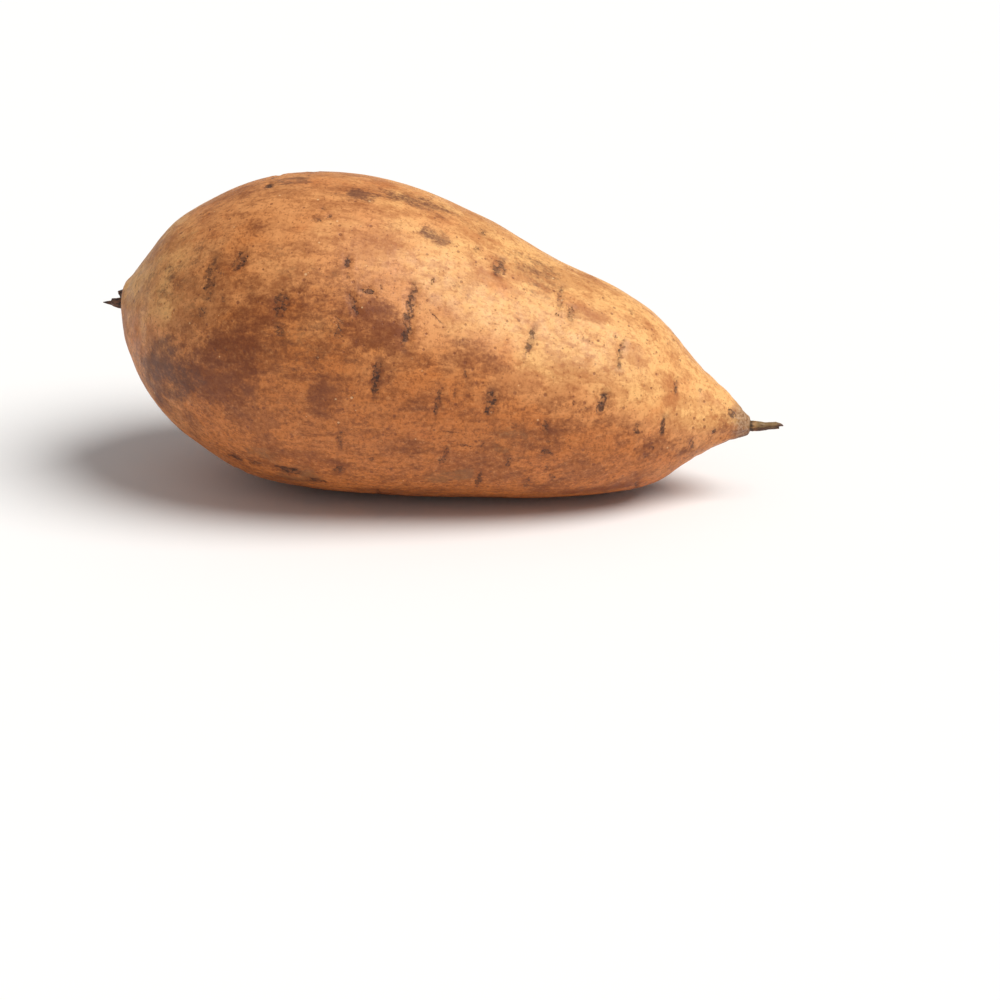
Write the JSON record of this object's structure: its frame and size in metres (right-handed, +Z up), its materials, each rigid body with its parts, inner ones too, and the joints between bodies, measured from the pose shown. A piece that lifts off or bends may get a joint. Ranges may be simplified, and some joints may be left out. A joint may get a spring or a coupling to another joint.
{
  "type": "sweet potato",
  "caption": "Whole raw sweet potato, a fat tapering root with a broken root tail and a torn stalk stub, lying on its belly.",
  "frame": {"origin": "under the middle of the root, on the surface that it lies on", "axes": "+X from the stalk end to the root tail, +Z up, -Y towards the side that the picture shows"},
  "size_m": [0.1696, 0.0814, 0.078],
  "materials": {
    "skin": "matte, dry, stained skin"
  },
  "bodies": {
    "root": {"sweet_potato": "skin"}
  },
  "joints": []
}
